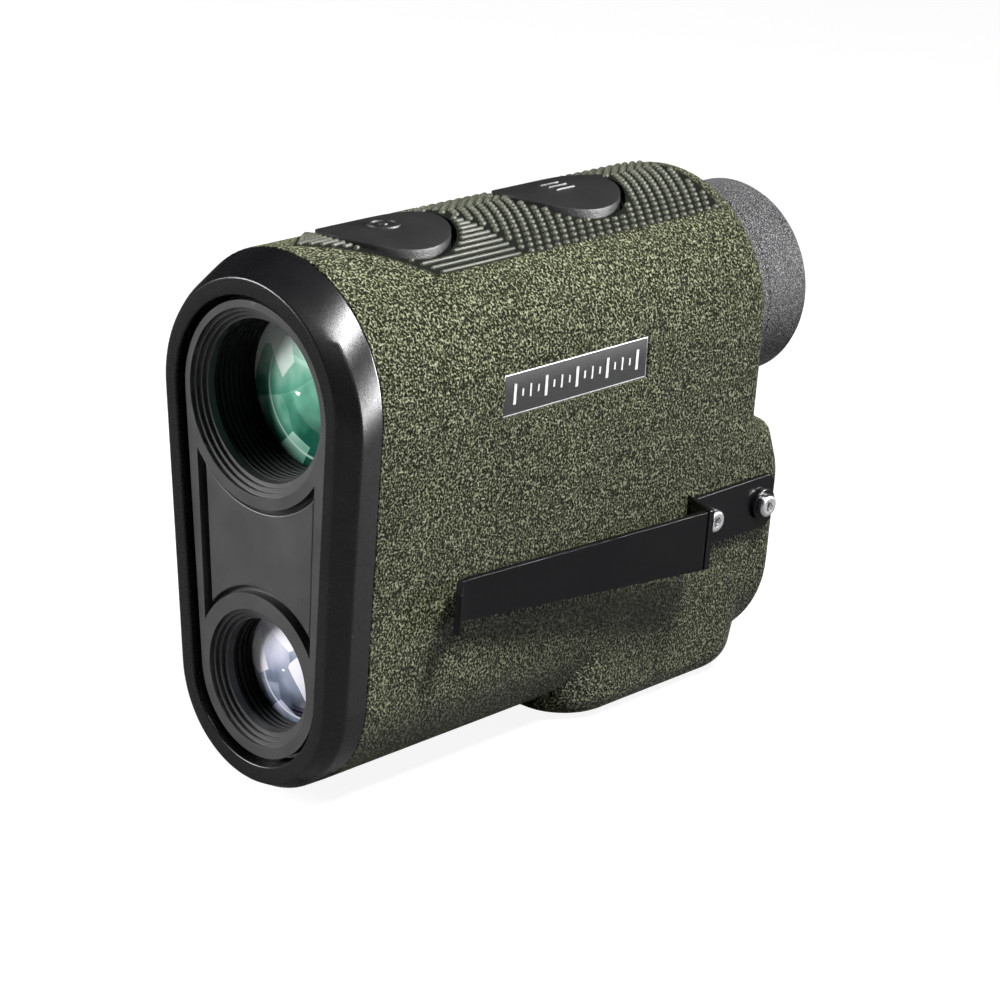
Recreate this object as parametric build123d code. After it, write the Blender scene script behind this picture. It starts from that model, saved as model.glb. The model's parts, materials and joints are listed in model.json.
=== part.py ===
from build123d import *
from math import asin, atan2, cos, sin, sqrt
import os

os.makedirs("parts", exist_ok=True)

# A hand-held laser rangefinder standing on its flat foot. All lengths are in mm.
# Working coordinates: X across, Y from the front face plate (0) to the eyecup, Z up from the ground.
# On export the assembly moves along Y so that the middle of the foot is the origin.

# Body section: the hull of an upper and a lower circle, the same all along Y
OBJ_Z = 56.8                    # height of the viewing axis
EMIT_Z = OBJ_Z - 39.4           # height of the laser axis
TOP_Z = OBJ_Z + 0.75            # centre of the upper body circle
TOP_R = 19.7
LOW_Z = OBJ_Z - 38.8            # centre of the lower body circle
LOW_R = 16.66
ARMOR_T = 1.6
SHELL_GAP = 0.05
SHELL_T = 1.8
SHELL_OUT = ARMOR_T + SHELL_GAP
SHELL_IN = SHELL_OUT + SHELL_T
SIDE_TILT = asin((LOW_R - TOP_R) / (TOP_Z - LOW_Z))
BIG = 120.0

# Lengths along Y
RIM_Y = -1.0                    # front edge of the bezel
BEZEL_EDGE_Y = 1.3              # where the bezel chamfer meets the body section
POCKET_Y = 3.0                  # floor of the bezel pocket
BEZEL_BACK_Y = 5.0
SEAL_T = 0.5
REAR_Y = 84.6                   # body end beside the eyepiece
BULGE_Y = 91.5                  # body end around the battery cap
REAR_ROUND = 3.0

# Flat foot under the battery bay
FOOT_Y0 = 47.3
FOOT_Y1 = 89.0
FOOT_HALF_W = 14.4
FOOT_H = 14.0                   # height at which its sloping sides have met the body
FOOT_DRAFT = 1.7                # how far the sides lean out by then
FOOT_DRAFT_Y = 2.3
FOOT_CORNER = 10.0
FOOT_ROUND = 5.0
FOOT_MID = (FOOT_Y0 + FOOT_Y1) / 2

# Front outlines: upper and lower radii about the two optical axes
RIM_OUT = (16.95, 14.5)
RIM_IN = (14.9, 12.3)
PLATE = (14.06, 11.5)
STEP_W = 0.57
STEPS = 3
OBJ_RING_R = 13.03
EMIT_RING_R = 9.88

# Centre trim panel between the two windows
PANEL_TOP_R = 14.65
PANEL_LOW_R = 12.15
PANEL_HALF_TOP = 11.9
PANEL_HALF_LOW = 10.6
PANEL_GROOVE = 0.8
PANEL_SINK = 0.7
PANEL_FLOOR = 1.6

# Viewing and laser optics
OBJ_LENS_R = 11.3
OBJ_RIM_Y = 10.2
EMIT_LENS_R = 8.2
EMIT_RIM_Y = 6.4
RIB_PITCH = 0.9
RIB_DEPTH = 0.35

# Buttons on top
BUTTON_A = 9.15                 # half width across
BUTTON_B = 9.4                  # half length along Y
BUTTON_YS = (23.8, 58.3)
BUTTON_TOP = 0.2                # height of the crown above the armour
BUTTON_CROWN_R = 26.0
BUTTON_WALL = 1.2
BUTTON_TRAVEL = 0.8
RUN_GAP = 0.35
BUTTON_MOAT = 0.8               # groove in the rubber round each button

# Eyepiece
EYE_Z = OBJ_Z + 0.6
SHELF_Z = EYE_Z - 15.9          # where the rear wall under the eyepiece starts to swell
BROW_Z = EYE_Z - 18.0
SHELF_Y = 88.6
BULGE_TOP_Z = EYE_Z - 25.0      # top of the swelling's flat end
CUP_R = 15.0
CUP_Y0 = 84.95
CUP_Y1 = 99.2
RING_OUT = 13.4
RING_IN = 12.3
TUBE_OUT = 12.0
TUBE_IN = 10.6
CELL_OUT = 10.5
CELL_IN = 9.2

# Battery bay (CR2 cell, 15.6 x 27)
BAT_Z = OBJ_Z - 34.2
BAT_R = 7.75
BAT_L = 27.0
BAT_Y0 = 59.1
BAY_OUT = 9.4
BAY_IN = 7.95
CAP_R = 9.2
CAP_Y1 = 92.5

# Belt clip and its screws
CLIP_Z = OBJ_Z - 29.3
CLIP_T = 0.9
SCREW_YS = (74.2, 85.6)
STEP_Y = 69.4                   # where the strip steps down onto the wall
BASE_END_Y = 88.2
SCREW_R = 0.8
HEAD_R = 1.75
HEAD_H = 1.0
HEX_R = 0.87                    # across the corners, half
INSERT_R = 1.6
INSERT_L = 3.6


def at_y(y):
    """Drawing plane across the body at y: local x is X, local y is Z, extrusions run to -Y."""
    return Plane(origin=(0, y, 0), x_dir=(1, 0, 0), z_dir=(0, -1, 0))


def prism(sketch, y0, y1):
    """Push a cross-section drawn in X and Z along Y from y0 to y1."""
    return extrude(at_y(y1) * sketch, amount=y1 - y0)


def hull(top_z, top_r, low_z, low_r):
    """Section that wraps an upper and a lower circle."""
    tilt = asin((low_r - top_r) / (top_z - low_z))
    c = cos(tilt)
    s = sin(tilt)
    top_pt = (top_r * c, top_z + top_r * s)
    low_pt = (low_r * c, low_z + low_r * s)
    edges = [
        ThreePointArc(top_pt, (0, top_z + top_r), (-top_pt[0], top_pt[1])),
        Line((-top_pt[0], top_pt[1]), (-low_pt[0], low_pt[1])),
        ThreePointArc((-low_pt[0], low_pt[1]), (0, low_z - low_r), low_pt),
        Line(low_pt, top_pt),
    ]
    return make_face(edges)


def section(inset=0.0):
    """Body section, shrunk by inset."""
    return hull(TOP_Z, TOP_R - inset, LOW_Z, LOW_R - inset)


def outline(radii):
    """Front outline concentric with both optical axes."""
    return hull(OBJ_Z, radii[0], EMIT_Z, radii[1])


def rod(r, y0, y1, z, x=0.0):
    """Cylinder along Y."""
    return Pos(x, (y0 + y1) / 2, z) * Rot(90, 0, 0) * Cylinder(r, y1 - y0)


def ring(r_out, r_in, y0, y1, z):
    return rod(r_out, y0, y1, z) - rod(r_in, y0 - 1, y1 + 1, z)


def cross_rod(r, x0, x1, y, z):
    """Cylinder along X."""
    return Pos((x0 + x1) / 2, y, z) * Rot(0, 90, 0) * Cylinder(r, x1 - x0)


def block(x0, x1, y0, y1, z0, z1):
    return Pos((x0 + x1) / 2, (y0 + y1) / 2, (z0 + z1) / 2) * Box(x1 - x0, y1 - y0, z1 - z0)


def turned(points, z):
    """Turned part: (radius, y) points spun about the Y axis at height z."""
    face = Pos(0, 0, z) * make_face(Polyline(*points, close=True))
    return revolve(face, Axis((0, 0, z), (0, 1, 0)), 360)


def lens(r, rim_y, sag_front, edge, sag_rear, z):
    """Round lens: domed front, cylindrical edge, domed rear."""
    def mid(sag):
        big_r = (r * r + sag * sag) / (2 * sag)
        return sag - (big_r - sqrt(big_r * big_r - r * r / 4))
    front = rim_y - sag_front
    rear_rim = rim_y + edge
    rear = rear_rim + sag_rear
    face = make_face([
        ThreePointArc((0, front), (r / 2, rim_y - mid(sag_front)), (r, rim_y)),
        Line((r, rim_y), (r, rear_rim)),
        ThreePointArc((r, rear_rim), (r / 2, rear_rim + mid(sag_rear)), (0, rear)),
        Line((0, rear), (0, front)),
    ])
    return revolve(Pos(0, 0, z) * face, Axis((0, 0, z), (0, 1, 0)), 360)


def ribbed_bore(r, y0, y1, z):
    """Cutter that leaves fine anti-glare ribs inside a barrel."""
    cut = rod(r, y0 - 0.5, y1, z)
    count = int((y1 - y0) / RIB_PITCH)
    for i in range(count):
        y = y0 + RIB_PITCH * (i + 0.3)
        cut += rod(r + RIB_DEPTH, y, y + RIB_PITCH / 2, z)
    return cut


def stepped_window(r, z):
    """Cutter for a window whose edge goes down in square steps."""
    cut = rod(r, -1, STEP_W, z)
    for i in range(1, STEPS):
        cut += rod(r - STEP_W * i, -1, STEP_W * (i + 1), z)
    return cut + rod(r - STEP_W * STEPS, -1, BEZEL_BACK_Y, z)


def body(inset, front_y):
    """The whole body form shrunk by inset, open at front_y."""
    rear = Polyline((0, 99), (REAR_Y, 99), (REAR_Y, SHELF_Z), (SHELF_Y, BROW_Z),
                    (BULGE_Y, BULGE_TOP_Z), (BULGE_Y, -6), (0, -6), close=True)
    side = make_face(rear)
    for height, radius in ((SHELF_Z, 1.2), (BROW_Z, 2.6), (BULGE_TOP_Z, 11.0)):
        side = fillet(side.vertices().filter_by(lambda v: abs(v.Y - height) < 0.01), radius)
    if inset > 0:
        side = offset(side, -inset)
    mask = extrude(Plane.YZ * side, amount=BIG / 2, both=True)
    form = prism(section(inset), front_y, BIG) & mask
    radius = REAR_ROUND - inset * 0.7
    if radius > 1:
        rim = []
        for e in form.edges():
            mid = e @ 0.5
            along = e % 0.5
            if mid.Y > 75 and abs(along.X) < 0.999 and abs(along.Y) < 0.999:
                rim.append(e)
        form = fillet(rim, radius)
    sole = Pos(0, FOOT_MID, inset) * RectangleRounded(
        2 * (FOOT_HALF_W - inset), FOOT_Y1 - FOOT_Y0 - 2 * inset, FOOT_CORNER - inset)
    root = Pos(0, FOOT_MID, FOOT_H) * RectangleRounded(
        2 * (FOOT_HALF_W + FOOT_DRAFT - inset), FOOT_Y1 - FOOT_Y0 + 2 * (FOOT_DRAFT_Y - inset),
        FOOT_CORNER - inset)
    foot = loft([sole, root], ruled=True)
    foot = fillet(foot.faces().sort_by(Axis.Z)[0].edges(), FOOT_ROUND - inset)
    return form + foot


def side_frame(y, z, side=1):
    """Plane lying on the slanted side wall: local x is Y, local y runs up, local z runs out."""
    x = (TOP_R + sin(SIDE_TILT) * (TOP_Z - z)) / cos(SIDE_TILT)
    normal = (side * cos(SIDE_TILT), 0, sin(SIDE_TILT))
    return Plane(origin=(side * x, y, z), x_dir=(0, 1, 0), z_dir=normal)


def side_rod(r, out0, out1, y, z, side=1):
    """Cylinder square to the side wall, from out0 to out1 beyond it."""
    local = Pos(0, 0, (out0 + out1) / 2) * Cylinder(r, out1 - out0)
    return side_frame(y, z, side).location * local


def oval(grow, y, z0=OBJ_Z, z1=OBJ_Z + 40):
    """Upright oval cutter over a button."""
    return Pos(0, y, z0) * extrude(Ellipse(BUTTON_A + grow, BUTTON_B + grow), amount=z1 - z0)


def save(name, *solids):
    placed = [solid.moved(Location((0, -FOOT_MID, 0))) for solid in solids]
    shape = placed[0] if len(placed) == 1 else Compound(children=placed)
    export_step(shape, f"parts/{name}.step")


# Positions shared by several pieces
BADGE = block(5, 40, 27.9, 57.2, OBJ_Z - 3.63, OBJ_Z + 2.45)
BADGE_HOLE = block(5, 40, 27.8, 57.3, OBJ_Z - 3.73, OBJ_Z + 2.55)
BEZEL_SCREWS = [(x, z) for x in (-9.5, 9.5) for z in (OBJ_Z - 15.2, OBJ_Z - 25.2)]
CHASSIS_SCREWS = [(18.0, OBJ_Z - 25.0), (52.0, OBJ_Z - 25.0), (74.0, OBJ_Z - 18.0)]

# ---------------------------------------------------------------- armour
skin = body(0, BEZEL_BACK_Y + 0.05)
skin -= body(ARMOR_T, 0)
skin -= rod(TUBE_OUT + 0.6, 70, 95, EYE_Z)
skin -= rod(CAP_R + 0.35, 80, 95, BAT_Z)
skin -= BADGE_HOLE
for y in BUTTON_YS:
    skin -= oval(BUTTON_MOAT, y)
for side in (-1, 1):
    for y in SCREW_YS:
        skin -= side_rod(INSERT_R + 0.1, -3, 3, y, CLIP_Z, side)
save("rubber_armor", skin)

badge = prism(section(0.35), 20, 70) - prism(section(ARMOR_T), 19, 71)
save("badge_plate", badge & BADGE)

# ---------------------------------------------------------------- chassis halves
chassis = body(SHELL_OUT, BEZEL_BACK_Y + SEAL_T)
hollow = body(SHELL_IN, 0)
walls = chassis - hollow
inside = prism(section(SHELL_IN - 0.4), 0, BIG)
front_wall = inside & block(-40, 40, BEZEL_BACK_Y + SEAL_T, 9.0, -5, 90)
mid_wall = inside & block(-40, 40, 34.8, 36.4, -5, 90)
bay_wall = inside & block(-40, 40, 59.0, 61.0, -5, BAT_Z + 11.5)
walls += front_wall + mid_wall + bay_wall
for y, z in CHASSIS_SCREWS:
    walls += cross_rod(2.7, -15, 15, y, z) & chassis
for side in (-1, 1):
    for y in SCREW_YS:
        walls += side_rod(2.7, -SHELL_OUT - INSERT_L - 0.8, -SHELL_OUT - 0.5, y, CLIP_Z, side) & chassis
        walls -= side_rod(INSERT_R, -SHELL_OUT - INSERT_L, 3, y, CLIP_Z, side)
walls -= rod(12.65, 0, 20, OBJ_Z)
walls -= rod(10.25, 20, 42, OBJ_Z)
walls -= rod(9.35, 0, 42, EMIT_Z)
walls -= rod(TUBE_OUT + 0.05, 70, 95, EYE_Z)
walls -= rod(13.7, 70, REAR_Y - SHELL_OUT - 0.8, EYE_Z)
walls -= rod(BAY_OUT + 0.05, 58, 95, BAT_Z)
walls -= block(-13.5, 13.5, 13, 71, OBJ_Z - 20.7, OBJ_Z - 19.3)
walls -= block(-4.7, 4.7, 13, 67, OBJ_Z + 12.7, OBJ_Z + 13.8)
for y in BUTTON_YS:
    walls -= oval(RUN_GAP, y)
for x, z in BEZEL_SCREWS:
    walls -= rod(0.85, 0, 12, z, x)
for y, z in CHASSIS_SCREWS:
    walls -= cross_rod(1.05, -12, 8, y, z)
    walls -= cross_rod(2.1, -30, -11.5, y, z)
save("left_shell", walls & block(0.03, 40, 0, BIG, -5, 90))
save("right_shell", walls & block(-40, -0.03, 0, BIG, -5, 90))

screws = []
for y, z in CHASSIS_SCREWS:
    screw = cross_rod(1.0, -12, 7.5, y, z) + cross_rod(1.9, -13.4, -11.6, y, z)
    screws.append(screw - cross_rod(0.8, -14, -12.4, y, z))
save("chassis_screws", *screws)

# ---------------------------------------------------------------- front end
ridge = hull(OBJ_Z - 1.3, TOP_R - 0.1, LOW_Z, LOW_R - 0.1)
chamfer_part = loft([at_y(RIM_Y) * hull(OBJ_Z + 0.4, RIM_OUT[0], EMIT_Z - 0.3, RIM_OUT[1]),
                     at_y(BEZEL_EDGE_Y) * ridge])
band_part = loft([at_y(BEZEL_EDGE_Y) * ridge, at_y(BEZEL_BACK_Y) * section()])
bezel = chamfer_part + band_part
bezel -= prism(outline(RIM_IN), RIM_Y - 1, POCKET_Y)
bezel -= rod(12.65, 0, 20, OBJ_Z)
bezel -= rod(9.35, 0, 20, EMIT_Z)
for x, z in BEZEL_SCREWS:
    bezel -= rod(0.95, 0, 12, z, x)
save("front_bezel", bezel)

save("front_gasket", prism(section(SHELL_OUT + 0.2) - section(SHELL_IN - 0.2),
                           BEZEL_BACK_Y + 0.02, BEZEL_BACK_Y + SEAL_T - 0.02))


def panel_shape(shrink):
    """Area between the two windows, pointed at its four corners."""
    wide = PANEL_HALF_TOP - shrink
    narrow = PANEL_HALF_LOW - shrink
    face = make_face(Polyline((-wide, OBJ_Z - 6), (-narrow, EMIT_Z + 4), (narrow, EMIT_Z + 4),
                              (wide, OBJ_Z - 6), close=True))
    face -= Pos(0, OBJ_Z) * Circle(PANEL_TOP_R + shrink)
    return face - Pos(0, EMIT_Z) * Circle(PANEL_LOW_R + shrink)


plate = prism(outline(PLATE), 0, POCKET_Y - 0.02)
plate -= stepped_window(OBJ_RING_R, OBJ_Z)
plate -= stepped_window(EMIT_RING_R, EMIT_Z)
plate -= prism(panel_shape(0), -1, PANEL_FLOOR)
for x, z in BEZEL_SCREWS:
    plate -= rod(1.7, 1.9, 4, z, x)
save("face_plate", plate)
save("centre_panel", prism(panel_shape(PANEL_GROOVE), PANEL_SINK, PANEL_FLOOR - 0.02))
heads = []
for x, z in BEZEL_SCREWS:
    heads.append(rod(0.8, 2.9, 8.8, z, x) + rod(1.5, 2.0, 2.96, z, x) - rod(0.6, 1.9, 2.6, z, x))
save("bezel_screws", *heads)

# ---------------------------------------------------------------- viewing optics
barrel = rod(12.6, POCKET_Y + 0.05, 20, OBJ_Z) + rod(10.2, 20, 42, OBJ_Z)
barrel -= ribbed_bore(11.1, POCKET_Y, OBJ_RIM_Y - 0.1, OBJ_Z)
barrel -= rod(11.35, OBJ_RIM_Y - 0.1, 14.3, OBJ_Z)
barrel -= turned([(0, 14.2), (10.2, 14.2), (10.2, 18), (9.2, 24), (9.2, 43), (0, 43)], OBJ_Z)
save("objective_tube", barrel)
save("objective_lens", lens(OBJ_LENS_R, OBJ_RIM_Y, 2.3, 2.0, 1.0, OBJ_Z))
save("objective_retainer", ring(11.33, 10.2, 12.45, 14.25, OBJ_Z))
barrel_seal = Pos(0, BEZEL_BACK_Y + 5.2, OBJ_Z) * Rot(90, 0, 0) * Torus(13.35, 0.7)
save("objective_oring", barrel_seal)

low_barrel = rod(9.3, POCKET_Y + 0.05, 36, EMIT_Z)
low_barrel -= ribbed_bore(8.05, POCKET_Y, EMIT_RIM_Y - 0.1, EMIT_Z)
low_barrel -= rod(8.25, EMIT_RIM_Y - 0.1, 9.65, EMIT_Z)
low_barrel -= turned([(0, 9.6), (7.3, 9.6), (7.3, 16), (5.0, 34), (0, 34)], EMIT_Z)
low_barrel -= rod(2.85, 30, 40, EMIT_Z)
save("emitter_tube", low_barrel)
save("emitter_lens", lens(EMIT_LENS_R, EMIT_RIM_Y, 1.5, 1.6, 0.6, EMIT_Z))
save("emitter_retainer", ring(8.23, 7.3, 8.2, 9.6, EMIT_Z))
save("emitter_oring", Pos(0, BEZEL_BACK_Y + 5.2, EMIT_Z) * Rot(90, 0, 0) * Torus(10.05, 0.7))

diode = rod(2.8, 31.0, 36.1, EMIT_Z) + rod(4.6, 36.1, 37.3, EMIT_Z)
for x, z in ((-1.3, 0.0), (1.3, 0.0), (0.0, 1.3)):
    diode += rod(0.22, 37.2, 40.6, EMIT_Z + z, x)
save("laser_diode", diode)
driver = rod(8.4, 37.4, 38.6, EMIT_Z)
for x, z in ((-1.3, 0.0), (1.3, 0.0), (0.0, 1.3)):
    driver -= rod(0.3, 37, 39, EMIT_Z + z, x)
save("laser_board", driver)


def side_prism(points, half_w):
    """Glass block with its outline drawn in Y and Z about the viewing axis."""
    face = make_face(Polyline(*[(y, OBJ_Z + z) for y, z in points], close=True))
    return extrude(Plane.YZ * face, amount=half_w, both=True)


save("prism_front", side_prism([(43.9, -8.5), (43.9, 8.5), (51.0, 8.5), (59.0, -8.5)], 8.5))
save("prism_rear", side_prism([(51.6, 8.5), (64.6, 8.5), (64.6, -8.5), (59.6, -8.5)], 8.5))
cage = block(-10.2, 10.2, 42.5, 66.0, OBJ_Z - 10.3, OBJ_Z + 9.2)
cage -= block(-8.55, 8.55, 43.85, 64.65, OBJ_Z - 8.55, OBJ_Z + 12)
cage -= rod(7.5, 40, 70, OBJ_Z)
cage -= Pos(0, 50, OBJ_Z - 10) * Cylinder(3.0, 6)
save("prism_cage", cage)
save("display_glass", rod(8.0, 66.6, 67.8, OBJ_Z))
save("display_frame", ring(10.0, 8.05, 66.1, 68.4, OBJ_Z))

# ---------------------------------------------------------------- eyepiece
seat_y = REAR_Y - SHELL_T - SHELL_OUT
tube = ring(TUBE_OUT, TUBE_IN, 70.0, 94.2, EYE_Z)
tube += ring(13.6, TUBE_OUT - 0.5, seat_y - 1.9, seat_y - 0.05, EYE_Z)
save("eyepiece_tube", tube)
save("eyepiece_oring", Pos(0, seat_y + 0.48, EYE_Z) * Rot(90, 0, 0) * Torus(12.55, 0.48))
focus_ring = turned([(RING_IN, 85.4), (RING_OUT, 85.4), (RING_OUT, 96.0), (11.0, 96.0),
                     (11.0, 94.5), (RING_IN, 94.5)], EYE_Z)
save("diopter_ring", focus_ring)
cup = turned([(RING_OUT + 0.05, CUP_Y0), (CUP_R, CUP_Y0), (CUP_R, CUP_Y1 - 1.3),
              (CUP_R - 0.5, CUP_Y1 - 0.35), (CUP_R - 1.3, CUP_Y1), (12.7, CUP_Y1),
              (12.2, CUP_Y1 - 0.5), (11.4, 96.05), (RING_OUT + 0.05, 96.05)], EYE_Z)
save("eyecup", cup)
cell = turned([(CELL_IN, 75.0), (CELL_OUT, 75.0), (CELL_OUT, 91.6), (CELL_IN, 91.6),
               (CELL_IN, 86.2), (8.5, 86.2), (8.5, 81.4), (CELL_IN, 81.4)], EYE_Z)
save("ocular_cell", cell)
save("ocular_lens_front", lens(9.15, 78.2, 0.9, 2.4, 0.6, EYE_Z))
save("ocular_lens_rear", lens(9.15, 86.85, 0.55, 1.6, 1.4, EYE_Z))
save("ocular_retainers", ring(9.15, 8.2, 75.6, 76.9, EYE_Z), ring(9.15, 8.4, 89.0, 90.8, EYE_Z))

# ---------------------------------------------------------------- buttons
for name, y in zip(("front_button", "rear_button"), BUTTON_YS):
    outer = rod(BUTTON_CROWN_R, 0, BIG, TOP_Z + TOP_R + BUTTON_TOP - BUTTON_CROWN_R)
    roof = rod(TOP_R - 1.5, 0, BIG, TOP_Z)
    under = rod(15.0, 0, BIG, TOP_Z)
    hole = oval(-BUTTON_WALL, y)
    cap = (oval(0, y) & outer) - under - (hole & roof)
    flange = (oval(1.0, y) & rod(TOP_R - SHELL_IN - 0.3, 0, BIG, TOP_Z)) - under - hole
    stem = Pos(0, y, OBJ_Z + 18.2) * Cylinder(1.8, 2.0)
    save(name, cap + flange + stem)
switch_board = block(-4.6, 4.6, 13.5, 66.5, OBJ_Z + 12.8, OBJ_Z + 13.7)
save("button_board", switch_board)
switches = []
for y in BUTTON_YS:
    switches.append(block(-2, 2, y - 2, y + 2, OBJ_Z + 13.72, OBJ_Z + 15.8)
                    + Pos(0, y, OBJ_Z + 16.0) * Cylinder(1.0, 0.6))
save("button_switches", *switches)

# ---------------------------------------------------------------- electronics
board = block(-13.4, 13.4, 13.5, 70.0, OBJ_Z - 20.6, OBJ_Z - 19.4)
save("main_board", board)
save("board_chips", block(-5, 5, 37.5, 46.0, OBJ_Z - 19.38, OBJ_Z - 17.8),
     block(-10, -4, 18, 24, OBJ_Z - 19.38, OBJ_Z - 18.2),
     block(3, 10, 60, 66, OBJ_Z - 19.38, OBJ_Z - 18.0))
detector = Pos(0, 50, OBJ_Z - 17.3) * Cylinder(2.6, 4.1) + Pos(0, 50, OBJ_Z - 18.9) * Cylinder(3.3, 0.9)
save("light_detector", detector)
ribbon = prism(section(4.2) - section(4.4), 37, 43) & block(-40, -4.8, 0, BIG, OBJ_Z - 19.3, 90)
save("ribbon_cable", ribbon)

# ---------------------------------------------------------------- battery bay
bay = rod(BAY_OUT, BAT_Y0 - 2.6, BAT_Y0 + 30.7, BAT_Z) - rod(BAY_IN, BAT_Y0 - 1.1, 95, BAT_Z)
save("battery_tube", bay)
save("battery_contact", rod(6.5, BAT_Y0 - 1.05, BAT_Y0 - 0.65, BAT_Z)
     + rod(3.0, BAT_Y0 - 0.7, BAT_Y0 - 0.05, BAT_Z))
cell_can = rod(BAT_R, BAT_Y0, BAT_Y0 + BAT_L - 1.2, BAT_Z)
cell_can = fillet(cell_can.edges(), 0.6)
save("battery", cell_can + rod(3.1, BAT_Y0 + BAT_L - 1.5, BAT_Y0 + BAT_L - 0.2, BAT_Z))
coil = Helix(pitch=1.47, height=4.4, radius=4.6)
wire = sweep(Plane(origin=coil @ 0, z_dir=coil % 0) * Circle(0.3), path=coil)
save("battery_spring", Pos(0, CAP_Y1 - 2.8, BAT_Z) * Rot(90, 0, 0) * wire)
cap = rod(CAP_R, BAT_Y0 + 30.95, CAP_Y1, BAT_Z)
cap = chamfer(cap.faces().sort_by(Axis.Y)[-1].edges(), 0.5)
for i in range(24):
    turn = Pos(0, 0, BAT_Z) * Rot(0, i * 15, 0) * Pos(CAP_R + 0.25, 0, 0)
    cap -= turn * Rot(90, 0, 0) * Pos(0, 0, -90) * Cylinder(0.55, 4)
cap -= block(-6.5, 6.5, CAP_Y1 - 1.2, 99, BAT_Z - 0.9, BAT_Z + 0.9)
cap += ring(7.87, 6.4, BAT_Y0 + 27.6, BAT_Y0 + 31.1, BAT_Z)
save("battery_cap", cap)
save("battery_cap_seal", ring(9.0, 7.95, BAT_Y0 + 30.74, BAT_Y0 + 30.92, BAT_Z))

# ---------------------------------------------------------------- belt clip
# The strip is drawn in (Y, distance off the side wall) and given its height by a second outline.
AXIS_Y = 66.8                   # bend line the arm springs about
AXIS_OUT = 5.55
FRONT_Y = 20.9


def strip(path, half_t):
    """Constant-thickness strip along a bent line, with mitred bends."""
    left = []
    right = []
    for i, (y, out) in enumerate(path):
        before = path[max(i - 1, 0)]
        after = path[min(i + 1, len(path) - 1)]
        here = (y, out)
        start = atan2(here[1] - before[1], here[0] - before[0]) if i > 0 else None
        end = atan2(after[1] - here[1], after[0] - here[0]) if i < len(path) - 1 else None
        start = end if start is None else start
        end = start if end is None else end
        mid = (start + end) / 2
        reach = half_t / cos((end - start) / 2)
        left.append((y - reach * sin(mid), out + reach * cos(mid)))
        right.append((y + reach * sin(mid), out - reach * cos(mid)))
    return make_face(Polyline(*left, *reversed(right), close=True))


def clip_solid(path):
    """Bent strip standing on the side wall, taller than needed."""
    frame = side_frame(0, CLIP_Z)
    plan = Plane(origin=frame.origin + frame.y_dir * 8, x_dir=frame.x_dir, z_dir=-frame.y_dir)
    return extrude(plan * strip(path, CLIP_T / 2), amount=16)


def clip_mask(points):
    """Side view outline of the strip: (Y, height about the clip line) points."""
    face = make_face(Polyline(*points, close=True))
    return extrude(side_frame(0, CLIP_Z) * face, amount=12)


half_t = CLIP_T / 2
base_path = [(AXIS_Y + 0.25, AXIS_OUT), (STEP_Y - 1.6, AXIS_OUT), (STEP_Y, half_t + 0.03),
             (BASE_END_Y, half_t + 0.03)]
arm_path = [(15.8, 5.4), (19.4, 2.1), (FRONT_Y, 2.0), (AXIS_Y - 0.05, AXIS_OUT)]
base = clip_solid(base_path)
base &= clip_mask([(60, 4.8), (STEP_Y, 4.8), (STEP_Y + 0.8, 4.4), (87.2, 4.4), (BASE_END_Y, 3.4),
                   (BASE_END_Y, -3.0), (87.2, -4.0), (STEP_Y + 0.8, -4.0), (STEP_Y, -4.6), (60, -4.6)])
for y in SCREW_YS:
    base -= side_rod(SCREW_R + 0.1, -1, 5, y, CLIP_Z)
save("clip_base", base)
arm = clip_solid(arm_path)
arm &= clip_mask([(10, 4.7), (70, 4.7), (70, -4.7), (21, -1.5), (10, -1.1)])
save("clip_arm", arm)
washer = side_rod(2.45, CLIP_T + 0.05, CLIP_T + 0.65, SCREW_YS[1], CLIP_Z)
save("clip_washer", washer - side_rod(SCREW_R + 0.1, -1, 5, SCREW_YS[1], CLIP_Z))
cap_screws = []
for y, lift in zip(SCREW_YS, (0.05, 0.67)):
    seat = CLIP_T + lift
    head = Pos(0, 0, seat + HEAD_H / 2) * Cylinder(HEAD_R, HEAD_H)
    head = fillet(head.faces().sort_by(Axis.Z)[-1].edges(), 0.45)
    head -= Pos(0, 0, seat + 0.35) * extrude(RegularPolygon(HEX_R, 6), amount=2)
    shank = side_rod(SCREW_R, -3.6, seat + 0.1, y, CLIP_Z)
    cap_screws.append(shank + side_frame(y, CLIP_Z).location * head)
save("clip_screws", *cap_screws)
for name, side in (("clip_inserts", 1), ("spare_inserts", -1)):
    nuts = []
    for y in SCREW_YS:
        nut = side_rod(INSERT_R - 0.02, -SHELL_OUT - INSERT_L + 0.02, -SHELL_OUT - 0.05, y, CLIP_Z, side)
        nuts.append(nut - side_rod(SCREW_R + 0.02, -8, 3, y, CLIP_Z, side))
    save(name, *nuts)
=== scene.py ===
import json
import math

import bmesh
import bpy
from mathutils import Matrix, Vector


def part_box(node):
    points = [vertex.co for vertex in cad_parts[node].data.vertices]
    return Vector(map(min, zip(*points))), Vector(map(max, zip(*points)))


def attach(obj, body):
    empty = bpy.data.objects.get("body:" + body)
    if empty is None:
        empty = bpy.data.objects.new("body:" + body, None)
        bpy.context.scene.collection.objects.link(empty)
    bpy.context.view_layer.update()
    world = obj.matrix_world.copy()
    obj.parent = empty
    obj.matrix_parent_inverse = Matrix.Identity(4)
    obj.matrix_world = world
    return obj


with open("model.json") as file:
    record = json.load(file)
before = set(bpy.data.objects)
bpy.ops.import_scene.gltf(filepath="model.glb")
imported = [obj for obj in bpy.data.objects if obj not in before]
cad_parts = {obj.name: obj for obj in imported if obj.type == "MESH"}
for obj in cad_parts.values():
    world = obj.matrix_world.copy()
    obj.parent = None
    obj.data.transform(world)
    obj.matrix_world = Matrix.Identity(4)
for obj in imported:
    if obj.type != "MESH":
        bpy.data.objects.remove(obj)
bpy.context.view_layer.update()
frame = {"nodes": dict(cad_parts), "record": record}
nodes = frame["nodes"]
MM = 0.001


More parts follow.
